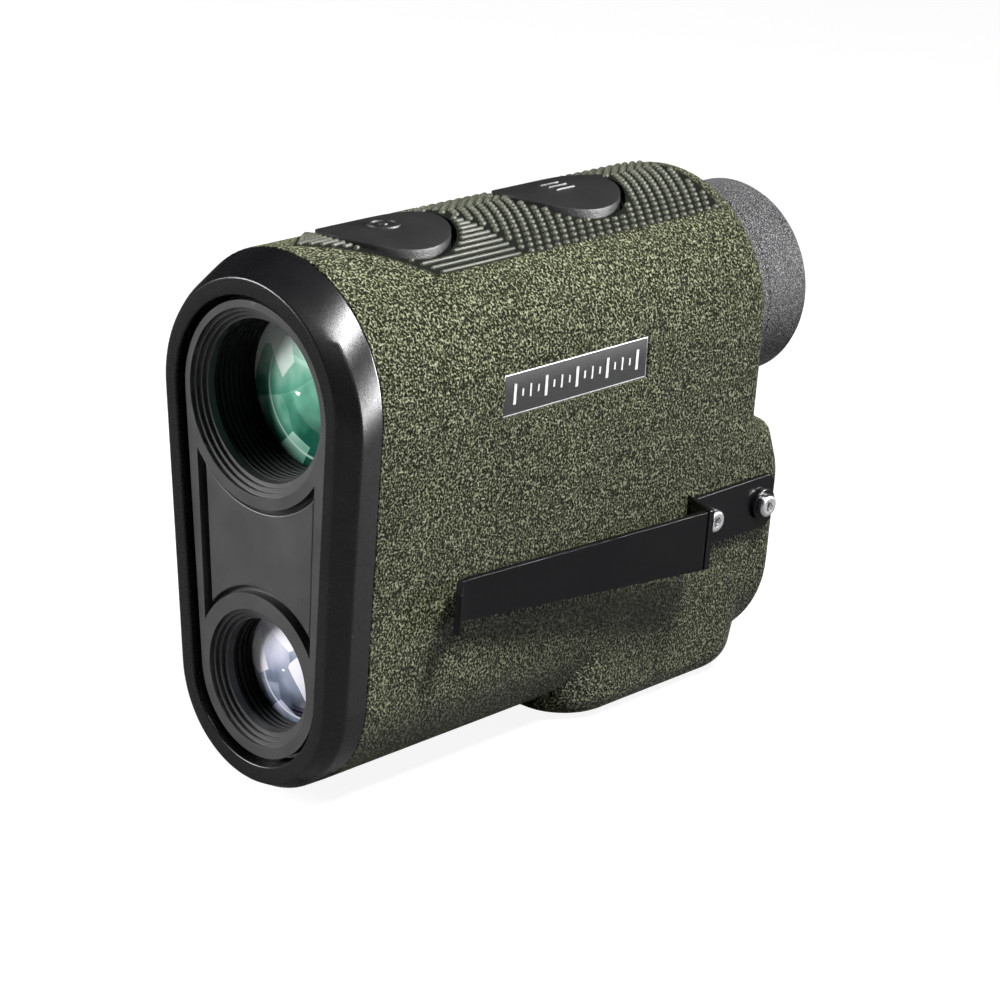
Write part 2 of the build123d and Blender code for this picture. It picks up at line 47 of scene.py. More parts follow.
# ------------------------------------------------------------ where things are
def middle(node):
    low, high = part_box(node)
    return (low + high) / 2


lens_mid = middle("objective_lens")
FRONT_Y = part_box("face_plate")[0].y            # plane of the window rings
EYE = middle("eyecup")
ARMOR_LOW, ARMOR_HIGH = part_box("rubber_armor")
TOP_R = (ARMOR_HIGH.x - ARMOR_LOW.x) / 2       # radius of the body's round top
TOP_Z = ARMOR_HIGH.z - TOP_R


def along(mm):
    """Y of a place that many millimetres behind the window rings."""
    return FRONT_Y + mm * MM


FOLD_AT = 90.0                 # fold line round the eyecup, mm behind the window rings
GRIP_LEAN = 38.5               # how far round the top the grip pattern reaches, degrees
GRIP_FRONT = 8.0               # front end of the pattern on the middle line, mm
GRIP_SLOPE = 14.8 * MM         # how much further back it starts at its outer edge
GRIP_REAR = 80.4               # rear end of the pattern, mm


# ------------------------------------------------------------ material helpers
class Look:
    """A Principled material with small helpers for procedural detail."""

    def __init__(self, name, base, rough, metal=0.0, **consts):
        self.mat = bpy.data.materials.new(name)
        self.mat.use_nodes = True
        self.tree = self.mat.node_tree
        self.bsdf = self.tree.nodes["Principled BSDF"]
        self.bsdf.inputs["Base Color"].default_value = (*base, 1)
        self.bsdf.inputs["Roughness"].default_value = rough
        self.bsdf.inputs["Metallic"].default_value = metal
        for key, value in consts.items():
            self.bsdf.inputs[key.replace("_", " ")].default_value = value
        self.place = self.add("ShaderNodeTexCoord").outputs["Object"]

    def add(self, kind, links=None, **values):
        node = self.tree.nodes.new(kind)
        for key, value in values.items():
            if hasattr(node, key):
                setattr(node, key, value)
            else:
                node.inputs[key.replace("_", " ")].default_value = value
        for key, source in (links or {}).items():
            self.tree.links.new(source, node.inputs[key])
        return node

    def noise(self, size_mm, detail=4.0, rough=0.55, place=None):
        node = self.add("ShaderNodeTexNoise", {"Vector": place or self.place}, Detail=detail)
        node.inputs["Scale"].default_value = 1 / (size_mm * MM)
        node.inputs["Roughness"].default_value = rough
        return node.outputs["Fac"]

    def cells(self, size_mm, feature="F1"):
        node = self.add("ShaderNodeTexVoronoi", {"Vector": self.place}, feature=feature)
        node.inputs["Scale"].default_value = 1 / (size_mm * MM)
        return node.outputs["Distance"]

    def ramp(self, source, stops):
        node = self.add("ShaderNodeValToRGB", {"Fac": source})
        ramp = node.color_ramp
        while len(ramp.elements) < len(stops):
            ramp.elements.new(0.5)
        for element, (at, value) in zip(ramp.elements, stops):
            element.position = at
            element.color = (*value, 1) if isinstance(value, tuple) else (value, value, value, 1)
        return node.outputs["Color"]

    def math(self, op, a, b=None, c=None):
        node = self.add("ShaderNodeMath", operation=op)
        for socket, value in zip(node.inputs, (a, b, c)):
            if value is None:
                continue
            if isinstance(value, (int, float)):
                socket.default_value = value
            else:
                self.tree.links.new(value, socket)
        return node.outputs[0]

    def mix(self, fac, a, b):
        node = self.add("ShaderNodeMix", data_type="RGBA")
        for socket, value in ((node.inputs[0], fac), (node.inputs[6], a), (node.inputs[7], b)):
            if isinstance(value, tuple):
                socket.default_value = (*value, 1)
            elif isinstance(value, (int, float)):
                socket.default_value = value
            else:
                self.tree.links.new(value, socket)
        return node.outputs[2]

    def color(self, source):
        self.tree.links.new(source, self.bsdf.inputs["Base Color"])

    def vary(self, source, dark, light):
        """Let the base colour drift between two tones."""
        self.color(self.ramp(source, [(0.3, dark), (0.7, light)]))

    def rough(self, source, low, high):
        node = self.add("ShaderNodeMapRange", {"Value": source})
        node.inputs["To Min"].default_value = low
        node.inputs["To Max"].default_value = high
        self.tree.links.new(node.outputs[0], self.bsdf.inputs["Roughness"])

    def bump(self, height, depth_mm, before=None):
        node = self.add("ShaderNodeBump", {"Height": height})
        node.inputs["Distance"].default_value = depth_mm * MM
        if before:
            self.tree.links.new(before, node.inputs["Normal"])
        self.tree.links.new(node.outputs[0], self.bsdf.inputs["Normal"])
        return node.outputs[0]


CLOUD = 0.25                   # how far the cloudiness of a moulding shifts its base colour


def moulded(name, base, rough, grain_mm=0.16, depth=0.02, **consts):
    """Moulded plastic: fine spark-eroded grain and faint cloudiness."""
    look = Look(name, base, rough, **consts)
    look.vary(look.noise(6.0, 3.0), tuple(c * (1 - CLOUD) for c in base),
              tuple(c * (1 + CLOUD) for c in base))
    grain = look.noise(grain_mm, 2.0)
    look.rough(grain, rough - 0.07, rough + 0.1)
    look.bump(grain, depth)
    return look


def speckle(look, pitch_mm, grain_depth):
    """Sparse raised specks over the fine grain, as on the front of the real one."""
    specks = look.ramp(look.cells(pitch_mm), [(0.035, 1.0), (0.055, 0.0)])
    look.bump(specks, 0.16, before=look.bump(look.noise(0.13, 2.0), grain_depth))


# ------------------------------------------------------------ materials
def armor_look():
    """Olive rubber with a pebbled grain; the smooth grip zone on top is painted near-black: partly
    its own darker rubber, partly painted shade of the valleys between the ribs and bumps and of
    the top that the lamps leave dark.
    """
    look = Look("armor_rubber_look", (0.07, 0.078, 0.052), 0.5, Specular_IOR_Level=0.05)
    pebble = look.noise(0.34, 1.4, 0.5)
    crumbs = look.noise(0.15, 2.0, 0.6)
    height = look.math("MULTIPLY_ADD", crumbs, 0.22, pebble)
    # pebble tint: the grain's own dark and light olive, and its brightest stops are painted glints
    # on the grain
    tint = look.ramp(height, [(0.51, (0.008, 0.010, 0.003)), (0.60, (0.046, 0.052, 0.025)),
                              (0.67, (0.140, 0.150, 0.085)), (0.76, (0.40, 0.41, 0.28))])
    cloud = look.ramp(look.noise(11.0, 3.0), [(0.3, 0.80), (0.7, 1.0)])
    tone = look.add("ShaderNodeMix", data_type="RGBA", blend_type="MULTIPLY")
    tone.inputs[0].default_value = 1.0
    look.tree.links.new(tint, tone.inputs[6])
    look.tree.links.new(cloud, tone.inputs[7])
    outside = outside_grip(look)
    # the grip zone's near-black is partly the rubber's own darker tone and partly painted shade
    # for its shaded valleys and its top
    look.color(look.mix(outside, (0.008, 0.009, 0.007), tone.outputs[2]))
    look.rough(crumbs, 0.32, 0.50)
    look.bump(look.math("MULTIPLY", height, outside), 1.1)
    return look


def outside_grip(look):
    """0 on the smooth zone that carries the ribs and bumps, 1 on the pebbled rubber around it."""
    xyz = look.add("ShaderNodeSeparateXYZ", {0: look.place})
    up = look.math("SUBTRACT", xyz.outputs["Z"], TOP_Z)
    lean = look.math("ABSOLUTE", look.math("ARCTAN2", xyz.outputs["X"], up))
    side = look.add("ShaderNodeMapRange", {"Value": lean}, interpolation_type="SMOOTHSTEP")
    side.inputs["From Min"].default_value = math.radians(GRIP_LEAN - 0.5)
    side.inputs["From Max"].default_value = math.radians(GRIP_LEAN + 1.5)
    start = look.math("MULTIPLY_ADD", lean, GRIP_SLOPE / math.radians(GRIP_LEAN),
                      along(GRIP_FRONT - 1.0))
    before = look.math("SUBTRACT", start, xyz.outputs["Y"])
    ahead = look.add("ShaderNodeMapRange", {"Value": before})
    ahead.inputs["From Min"].default_value = -0.5 * MM
    ahead.inputs["From Max"].default_value = 0.5 * MM
    behind = look.add("ShaderNodeMapRange", {"Value": xyz.outputs["Y"]})
    behind.inputs["From Min"].default_value = along(GRIP_REAR)
    behind.inputs["From Max"].default_value = along(GRIP_REAR + 1.5)
    return look.math("MAXIMUM", side.outputs[0],
                     look.math("MAXIMUM", ahead.outputs[0], behind.outputs[0]))


armor = armor_look()
grip = Look("grip_rubber_look", (0.06, 0.066, 0.044), 0.42, Specular_IOR_Level=0.16)
grain = grip.noise(0.2, 2.5, 0.6)
grip.vary(grain, (0.026, 0.029, 0.019), (0.085, 0.090, 0.066))
grip.rough(grain, 0.36, 0.52)
grip.bump(grain, 0.05)

bezel = moulded("bezel_plastic_look", (0.004, 0.004, 0.0045), 0.25, 0.13, 0.008,
                Specular_IOR_Level=0.34)
speckle(bezel, 4.2, 0.010)
face = moulded("face_plastic_look", (0.036, 0.036, 0.037), 0.40, 0.13, 0.014)
speckle(face, 4.0, 0.016)
button = moulded("button_rubber_look", (0.010, 0.010, 0.0105), 0.46, 0.24, 0.06,
                 Specular_IOR_Level=0.25)
chassis = moulded("chassis_plastic_look", (0.012, 0.012, 0.013), 0.5)
cap_plastic = moulded("cap_plastic_look", (0.022, 0.022, 0.023), 0.42, 0.14, 0.016)
bay_plastic = moulded("bay_plastic_look", (0.05, 0.05, 0.052), 0.45)

cup = Look("cup_rubber_look", (0.04, 0.04, 0.042), 0.5, Specular_IOR_Level=0.06)
sand = cup.noise(0.19, 2.0, 0.7)
cup.color(cup.ramp(sand, [(0.40, (0.004, 0.004, 0.005)), (0.52, (0.036, 0.036, 0.038)),
                          (0.66, (0.36, 0.36, 0.365))]))
cup.rough(sand, 0.36, 0.55)
cup.bump(sand, 0.16)

gasket = Look("gasket_rubber_look", (0.012, 0.012, 0.012), 0.6)
gasket.bump(gasket.noise(0.3), 0.01)

badge = Look("badge_metal_look", (0.020, 0.021, 0.021), 0.42, Specular_IOR_Level=0.08)
stroke = badge.add("ShaderNodeMapping", {"Vector": badge.place})
stroke.inputs["Scale"].default_value = (1, 0.08, 1)
brushed = badge.noise(0.12, 3.0, 0.6, stroke.outputs[0])
badge.vary(brushed, (0.008, 0.009, 0.009), (0.020, 0.021, 0.021))
badge.rough(brushed, 0.42, 0.56)
badge.bump(brushed, 0.008)

trim = Look("badge_trim_look", (0.42, 0.42, 0.42), 0.38, 0.7)
trim.vary(trim.noise(0.5, 3.0), (0.24, 0.24, 0.24), (0.42, 0.42, 0.42))
trim.bump(trim.noise(0.15), 0.006)

barrel = Look("barrel_black_look", (0.004, 0.004, 0.004), 0.5, Specular_IOR_Level=0.3)
barrel.vary(barrel.noise(3.0), (0.003, 0.003, 0.003), (0.006, 0.006, 0.006))
barrel.bump(barrel.noise(0.12), 0.01)

clip = Look("clip_enamel_look", (0.005, 0.005, 0.006), 0.2, Specular_IOR_Level=0.18)
clip.vary(clip.noise(8.0, 4.0), (0.002, 0.002, 0.003), (0.004, 0.004, 0.005))
peel = clip.noise(0.7, 2.0)    # the faint unevenness of sprayed enamel
clip.rough(peel, 0.15, 0.24)
clip.bump(peel, 0.006)

screw = Look("screw_steel_look", (0.55, 0.55, 0.56), 0.22, 1.0)
turning = screw.noise(0.12, 3.0)
screw.vary(turning, (0.42, 0.42, 0.43), (0.66, 0.66, 0.67))
screw.rough(turning, 0.16, 0.32)
screw.bump(turning, 0.005)

brass = Look("insert_brass_look", (0.60, 0.43, 0.18), 0.3, 1.0)
brass.vary(brass.noise(0.6), (0.52, 0.36, 0.14), (0.68, 0.50, 0.22))
brass.bump(brass.noise(0.15), 0.006)


def coated_with_painted_reflections(name, node, tones, reflection_facet_mm, ring, tint, ior):
    """Lens coating with painted reflections. The colour is the coating's own tint, painted
    smoothly lighter towards the top, cut by large faint facet cells of painted reflection and a
    thin painted highlight ring at the next element's edge."""
    look = Look(name, tones[1][1], 0.03, IOR=ior, Specular_Tint=(*tint, 1))
    low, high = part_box(node)
    centre = (low + high) / 2
    radius = (high.z - low.z) / 2
    xyz = look.add("ShaderNodeSeparateXYZ", {0: look.place})
    up = look.math("SUBTRACT", xyz.outputs["Z"], centre.z)
    across = look.math("SUBTRACT", xyz.outputs["X"], centre.x)
    slope = look.math("MULTIPLY_ADD", across, -0.25, look.math("MULTIPLY", up, 0.8))
    # painted light: the tone is made lighter towards the top
    painted_light_slope = look.math("MULTIPLY_ADD", slope, 0.42 / radius, 0.40)
    # painted reflection: large faint facet cells breaking up the tone
    reflection_facets = look.add("ShaderNodeTexVoronoi", {"Vector": look.place})
    reflection_facets.inputs["Scale"].default_value = 1 / (reflection_facet_mm * MM)
    split = look.add("ShaderNodeSeparateColor", {0: reflection_facets.outputs["Color"]})
    cut = look.math("SUBTRACT", split.outputs[0], 0.5)
    value = look.math("MULTIPLY_ADD", cut, 0.55, painted_light_slope)
    reflection_blotches = look.math("SUBTRACT", look.noise(3.2, 1.0), 0.5)
    value = look.math("MULTIPLY_ADD", reflection_blotches, 0.3, value)
    tone = look.ramp(value, tones)
    side = look.math("ADD", across, -0.28 * radius)
    reach = look.math("SQRT", look.math("MULTIPLY_ADD", side, side, look.math("MULTIPLY", up, up)))
    off = look.math("ABSOLUTE", look.math("SUBTRACT", reach, 0.86 * radius))
    # painted highlight: a thin bright ring drawn into the colour
    painted_highlight_ring = look.ramp(look.math("DIVIDE", off, 0.30 * MM), [(0.3, 1.0), (1.0, 0.0)])
    look.color(look.mix(look.math("MULTIPLY", painted_highlight_ring, 0.75), tone, ring))
    look.rough(look.noise(4.0), 0.02, 0.05)
    return look


# the three lenses carry their coatings' own tints with painted reflections over them
green_lens = coated_with_painted_reflections("objective_coating_painted_reflection_look", "objective_lens",
                    [(0.02, (0.010, 0.095, 0.060)), (0.20, (0.10, 0.34, 0.24)),
                     (0.40, (0.42, 0.66, 0.54)), (0.62, (0.90, 0.98, 0.93))],
                    7.5, (0.70, 0.92, 0.80), (0.72, 1.0, 0.84), 2.1)
violet_lens = coated_with_painted_reflections("emitter_coating_painted_reflection_look", "emitter_lens",
                     [(0.02, (0.012, 0.012, 0.026)), (0.20, (0.18, 0.22, 0.30)),
                      (0.40, (0.55, 0.56, 0.70)), (0.65, (0.92, 0.91, 0.98))],
                     5.2, (0.9, 0.92, 1.0), (0.90, 0.91, 1.0), 2.3)
eye_lens = coated_with_painted_reflections("ocular_coating_painted_reflection_look", "ocular_lens_rear",
                  [(0.2, (0.003, 0.006, 0.016)), (0.9, (0.010, 0.024, 0.050))],
                  6.0, (0.03, 0.05, 0.10), (0.62, 0.72, 1.0), 2.0)

clear = Look("clear_glass_look", (0.92, 0.95, 0.95), 0.03, IOR=1.52, Transmission_Weight=1.0)
clear.rough(clear.noise(5.0), 0.01, 0.04)

board = Look("circuit_board_look", (0.01, 0.07, 0.035), 0.35)
tracks = board.cells(1.6, "DISTANCE_TO_EDGE")
board.color(board.ramp(tracks, [(0.0, (0.02, 0.13, 0.06)), (0.08, (0.02, 0.13, 0.06)),
                                (0.1, (0.008, 0.06, 0.03))]))
board.bump(tracks, 0.02)

chip = moulded("chip_plastic_look", (0.02, 0.02, 0.02), 0.45)
can = Look("can_metal_look", (0.6, 0.56, 0.45), 0.25, 1.0)
can.vary(can.noise(0.8), (0.5, 0.46, 0.36), (0.68, 0.64, 0.52))
can.bump(can.noise(0.2), 0.004)
contact = Look("contact_nickel_look", (0.6, 0.59, 0.56), 0.25, 1.0)
contact.vary(contact.noise(0.6), (0.5, 0.49, 0.47), (0.7, 0.69, 0.66))
contact.bump(contact.noise(0.2), 0.004)

wrap = Look("battery_wrap_look", (0.06, 0.10, 0.2), 0.28)
split = wrap.add("ShaderNodeSeparateXYZ", {0: wrap.place})
band = wrap.add("ShaderNodeMapRange", {"Value": split.outputs["Y"]})
band.inputs["From Min"].default_value = middle("battery").y
band.inputs["From Max"].default_value = middle("battery").y + 0.2 * MM
wrap.color(wrap.mix(band.outputs[0], (0.03, 0.06, 0.16), (0.45, 0.45, 0.46)))
wrap.bump(wrap.noise(0.4), 0.004)

LOOKS = {
    "armor_rubber": armor, "shell_plastic": chassis, "bezel_plastic": face,
    "badge_metal": badge, "button_plastic": button, "gasket_rubber": gasket,
    "cup_rubber": cup, "black_aluminium": barrel, "objective_glass": green_lens,
    "emitter_glass": violet_lens, "clear_glass": clear, "clip_steel": clip,
    "screw_steel": screw, "insert_brass": brass, "circuit_board": board,
    "chip_plastic": chip, "can_metal": can, "battery_tube_plastic": bay_plastic,
    "battery_label": wrap, "contact_metal": contact, "cap_plastic": cap_plastic,
}
OWN_LOOKS = {"front_bezel": bezel, "ocular_lens_rear": eye_lens, "ocular_lens_front": eye_lens}

# Small rounded edges, so that edges catch the light as moulded and stamped ones do
EDGE_MM = {
    "front_bezel": 0.30, "face_plate": 0.16, "centre_panel": 0.22, "badge_plate": 0.08,
    "front_button": 0.35, "rear_button": 0.35, "clip_base": 0.12, "clip_arm": 0.12,
    "clip_washer": 0.1, "clip_screws": 0.12, "eyecup": 0.1, "battery_cap": 0.15,
    "diopter_ring": 0.15, "objective_tube": 0.06, "emitter_tube": 0.06,
}

# smallest angle between two faces that counts as an edge, degrees
EDGE_ANGLE = {"front_bezel": 13}
EDGE_ANGLE_ELSE = 32

for entry in frame["record"]["subparts"]:
    node = nodes[entry["node"]]
    look = OWN_LOOKS.get(entry["node"], LOOKS[entry["material_slot"]])
    node.data.materials.clear()
    node.data.materials.append(look.mat)
    if entry["node"] in EDGE_MM:
        weld = node.modifiers.new("weld", "WELD")
        weld.merge_threshold = 1e-6
        bevel = node.modifiers.new("edge", "BEVEL")
        bevel.width = EDGE_MM[entry["node"]] * MM
        bevel.segments = 3
        bevel.limit_method = "ANGLE"
        bevel.angle_limit = math.radians(EDGE_ANGLE.get(entry["node"], EDGE_ANGLE_ELSE))
        shade = node.modifiers.new("shade", "WEIGHTED_NORMAL")
        shade.weight = 90


# ------------------------------------------------------------ pieces built here
def new_piece(bm, name, look, body, smooth=True):
    """Turn a finished bmesh into a piece that rides on a body."""
    bmesh.ops.recalc_face_normals(bm, faces=bm.faces)
    mesh = bpy.data.meshes.new(name)
    bm.to_mesh(mesh)
    bm.free()
    mesh.materials.append(look.mat)
    for poly in mesh.polygons:
        poly.use_smooth = smooth
    obj = bpy.data.objects.new(name, mesh)
    bpy.context.scene.collection.objects.link(obj)
    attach(obj, body)


def circle(cx, cy, radius, count):
    return [(cx + radius * math.cos(2 * math.pi * i / count),
             cy + radius * math.sin(2 * math.pi * i / count)) for i in range(count)]


def skin(bm, loops):
    """Quads between each closed loop of vertices and the next."""
    for a, b in zip(loops, loops[1:]):
        for i in range(len(a)):
            j = (i + 1) % len(a)
            bm.faces.new((a[i], a[j], b[j], b[i]))


def on_top(lean, y, lift):
    """Point above the body's round top: lean in radians from upright, lift off the surface."""
    r = TOP_R + lift
    return Vector((r * math.sin(lean), y, TOP_Z + r * math.cos(lean)))


# cross-section of a rib or bump, in widths across and heights up; its feet are in the rubber
PROFILE = [(-0.5, -0.16), (-0.46, 0.35), (-0.26, 0.86), (0.0, 1.0),
           (0.26, 0.86), (0.46, 0.35), (0.5, -0.16)]


def pill(bm, lean, y0, y1, width, height):
    """One rounded bar moulded on the top, from y0 to y1."""
    end = min(width * 0.6, (y1 - y0) / 2)
    rows = []
    stations = [(y0, 0.35, -0.2), (y0 + end * 0.3, 0.8, 0.75), (y0 + end, 1.0, 1.0),
                (y1 - end, 1.0, 1.0), (y1 - end * 0.3, 0.8, 0.75), (y1, 0.35, -0.2)]
    for y, wide, tall in stations:
        row = []
        for across, up in PROFILE:
            lift = height * (up if tall >= 1 else min(up, tall))
            row.append(bm.verts.new(on_top(lean + across * width * wide / TOP_R, y, lift)))
        rows.append(row)
    for a, b in zip(rows, rows[1:]):
        for i in range(len(PROFILE) - 1):
            bm.faces.new((a[i], b[i], b[i + 1], a[i + 1]))


BUTTON_MIDS = [middle("front_button").y, middle("rear_button").y]
BUTTON_HALF_W = 9.15 * MM
BUTTON_HALF_L = 9.4 * MM
CLEAR = 1.12 * MM              # smooth ring round each button
ROW_PITCH = math.radians(2.92)
ROWS = 13                      # rows on each side of the middle one
RIB_W = 0.56 * MM
RIB_H = 0.45 * MM
RIB_MIN = 0.8 * MM             # a shorter rib is left out
RIB_STOP = 34.0                # where the ribs end on the middle line, mm
RIB_STOP_SLOPE = 4.4           # how much further back they end at the outer edge, mm
RIB_STEP = 0.1 * MM            # how finely a rib's cut ends are found
ROW_GAP = 0.6 * MM             # between a rib and the first bump behind it
BUMP_W = 0.82 * MM
BUMP_L = 1.10 * MM
BUMP_H = RIB_H + 0.04 * MM
BUMP_PITCH = 1.78 * MM


def near_button(lean, y):
    """True where a place on the top is on a button or in the smooth ring around it."""
    x = TOP_R * math.sin(lean)
    return any(math.hypot(x / (BUTTON_HALF_W + CLEAR), (y - mid) / (BUTTON_HALF_L + CLEAR)) < 1
               for mid in BUTTON_MIDS)


ribs = bmesh.new()
bumps = bmesh.new()
for row in range(-ROWS, ROWS + 1):
    lean = row * ROW_PITCH
    share = abs(row) / ROWS
    start = along(GRIP_FRONT) + GRIP_SLOPE * share
    stop = along(RIB_STOP + RIB_STOP_SLOPE * share)
    # a rib is cut where the front button is
    low = None
    y = start
    while y < stop:
        blocked = near_button(lean, y)
        if not blocked and low is None:
            low = y
        if low is not None and (blocked or y + RIB_STEP >= stop):
            if y - low > RIB_MIN:
                pill(ribs, lean, low, y, RIB_W, RIB_H)
            low = None
        y += RIB_STEP
    y = stop + ROW_GAP + (BUMP_PITCH / 2 if row % 2 else 0)
    while y + BUMP_L < along(GRIP_REAR):
        if not near_button(lean, y + BUMP_L / 2):
            pill(bumps, lean, y, y + BUMP_L, BUMP_W, BUMP_H)
        y += BUMP_PITCH
new_piece(ribs, "grip_ribs", grip, "housing")
new_piece(bumps, "grip_bumps", grip, "housing")


# Raised bead round the eyecup, where its soft rim begins
BEAD_W = 0.9 * MM
BEAD_H = 0.22 * MM
BEAD_ROOT = 0.1 * MM           # how deep its feet are in the cup
BEAD_ARC = 8                   # divisions over the bead
BEAD_ROUND = 144               # divisions round the cup

cup_low, cup_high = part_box("eyecup")
cup_radius = (cup_high.x - cup_low.x) / 2
bm = bmesh.new()
loops = []
for k in range(BEAD_ARC + 1):
    turn = math.pi * k / BEAD_ARC
    r = cup_radius - BEAD_ROOT + (BEAD_H + BEAD_ROOT) * math.sin(turn)
    y = along(FOLD_AT) - BEAD_W / 2 * math.cos(turn)
    loops.append([bm.verts.new((x, y, z)) for x, z in circle(EYE.x, EYE.z, r, BEAD_ROUND)])
skin(bm, loops)
new_piece(bm, "eyecup_bead", cup, "diopter")


# Badge: a light raised border and a plain measuring scale of long and short ticks
WALL_LEAN = 0.077              # how much the +X wall moves out per unit of height
BADGE_SUNK = -0.3 * MM         # the feet of its raised marks, under the plate's face
BORDER_W = 0.26 * MM
BORDER_H = 0.16 * MM
TICKS = 17
TICK_H = 0.14 * MM
TICK_MARGIN = 2.2 * MM         # from the plate's ends to the first and last tick
TICK_SLOPE = 0.08 * MM         # how far the sides of a mark slope in

plate_low, plate_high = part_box("badge_plate")


def side_point(y, z, out):
    """Point on the +X wall, which leans below the start of the round top and curves above it."""
    above = z - TOP_Z
    if above < 0:
        x = plate_high.x + above * WALL_LEAN
    else:
        x = plate_high.x - above * above / (2 * TOP_R)
    return Vector((x + out, y, z))


def bar(bm, y0, y1, z0, z1, height):
    """Low block on the badge with sloped sides."""
    s = TICK_SLOPE
    lower = [bm.verts.new(side_point(y, z, BADGE_SUNK))
             for y, z in ((y0, z0), (y1, z0), (y1, z1), (y0, z1))]
    upper = [bm.verts.new(side_point(y, z, height))
             for y, z in ((y0 + s, z0 + s), (y1 - s, z0 + s), (y1 - s, z1 - s), (y0 + s, z1 - s))]
    bm.faces.new(upper)
    skin(bm, (lower, upper))


bm = bmesh.new()
for y0, y1, z0, z1 in (
        (plate_low.y, plate_high.y, plate_low.z, plate_low.z + BORDER_W),
        (plate_low.y, plate_high.y, plate_high.z - BORDER_W, plate_high.z),
        (plate_low.y, plate_low.y + BORDER_W, plate_low.z, plate_high.z),
        (plate_high.y - BORDER_W, plate_high.y, plate_low.z, plate_high.z)):
    bar(bm, y0, y1, z0, z1, BORDER_H)
new_piece(bm, "badge_border", trim, "housing", smooth=False)

bm = bmesh.new()
first = plate_low.y + TICK_MARGIN
last = plate_high.y - TICK_MARGIN
mid_z = (plate_low.z + plate_high.z) / 2
for i in range(TICKS):
    y = first + (last - first) * i / (TICKS - 1)
    reach = (1.55 if i % 4 == 0 else 1.0 if i % 2 == 0 else 0.6) * MM
    wide = (0.34 if i % 4 == 0 else 0.24) * MM
    bar(bm, y - wide, y + wide, mid_z - reach, mid_z + reach, TICK_H)
new_piece(bm, "badge_ticks", trim, "housing", smooth=False)


# Marks moulded on the two buttons: a ring and dot, and three bars
BUTTON_CROWN_R = 26 * MM
MARK_ROOT = -0.05 * MM         # the feet of a mark, under the button's face
MARK_TALL = 0.22 * MM
RING_IN = 1.75 * MM
RING_OUT = 2.45 * MM
RING_SLOPE = 0.1 * MM
DOT_R = 0.7 * MM
BAR_W = 0.7 * MM
BAR_HALF_L = 2 * MM
BAR_PITCH = 1.6 * MM


def button_top(node, x, y, lift):
    """Point above the button's crowned face."""
    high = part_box(node)[1]
    return Vector((x, y, high.z - x * x / (2 * BUTTON_CROWN_R) + lift))


def patch(bm, node, outline, slope):
    """Raised flat-topped mark: outline is a list of (x, y), and slope is how far its top is
    drawn in towards its middle, as a share."""
    cx = sum(x for x, _ in outline) / len(outline)
    cy = sum(y for _, y in outline) / len(outline)
    lower = [bm.verts.new(button_top(node, x, y, MARK_ROOT)) for x, y in outline]
    upper = [bm.verts.new(button_top(node, x + (cx - x) * slope, y + (cy - y) * slope, MARK_TALL))
             for x, y in outline]
    bm.faces.new(upper)
    skin(bm, (lower, upper))


def ring_mark(bm, node, cx, cy):
    loops = []
    for r, lift in ((RING_OUT, MARK_ROOT), (RING_OUT - RING_SLOPE, MARK_TALL),
                    (RING_IN + RING_SLOPE, MARK_TALL), (RING_IN, MARK_ROOT)):
        loops.append([bm.verts.new(button_top(node, x, y, lift))
                      for x, y in circle(cx, cy, r, 40)])
    skin(bm, loops)


for name, node in (("front_button_mark", "front_button"), ("rear_button_mark", "rear_button")):
    bm = bmesh.new()
    mid_y = middle(node).y
    if node == "front_button":
        ring_mark(bm, node, 0, mid_y)
        patch(bm, node, circle(0, mid_y, DOT_R, 20), 0.15)
    else:
        for k in (-1, 0, 1):
            x0 = BAR_PITCH * k - BAR_W / 2
            x1 = x0 + BAR_W
            patch(bm, node, [(x0, mid_y - BAR_HALF_L), (x1, mid_y - BAR_HALF_L),
                             (x1, mid_y + BAR_HALF_L), (x0, mid_y + BAR_HALF_L)], 0.12)
    new_piece(bm, name, button, node, smooth=False)

# ------------------------------------------------------------ camera
AZIMUTH = math.radians(43.74)
ELEVATION = math.radians(18.63)
ROLL = math.radians(-0.92)
OFFSET = Vector((0.3000, -0.2658, 0.1217))     # camera from the viewing axis at the window plane
LENS_MM = 112.8
SENSOR_MM = 36

anchor = Vector((lens_mid.x, FRONT_Y, lens_mid.z))
back = Vector((math.sin(AZIMUTH) * math.cos(ELEVATION), -math.cos(AZIMUTH) * math.cos(ELEVATION),
               math.sin(ELEVATION)))
right = Vector((math.cos(AZIMUTH), math.sin(AZIMUTH), 0))
up = back.cross(right)
turned_right = math.cos(ROLL) * right - math.sin(ROLL) * up
turned_up = math.sin(ROLL) * right + math.cos(ROLL) * up
camera_data = bpy.data.cameras.new("camera")
camera_data.lens = LENS_MM
camera_data.sensor_width = SENSOR_MM
camera_data.clip_start = 0.01
camera = bpy.data.objects.new("camera", camera_data)
bpy.context.scene.collection.objects.link(camera)
basis = Matrix((turned_right, turned_up, back)).transposed()
camera.matrix_world = Matrix.Translation(anchor + OFFSET) @ basis.to_4x4()
bpy.context.scene.camera = camera

# ------------------------------------------------------------ floor and light
FLOOR_HALF = 6.0
FLOOR_DROP = 0.2 * MM          # the floor is just under the foot, so that they don't share a plane
FLOOR_GREY = 0.18
FLOOR_GLOW = 0.90              # what the camera alone sees on top of the lit grey
BACKDROP_GLOW = 0.95           # the same past the floor's far edge
WORLD_LIGHT = 0.012

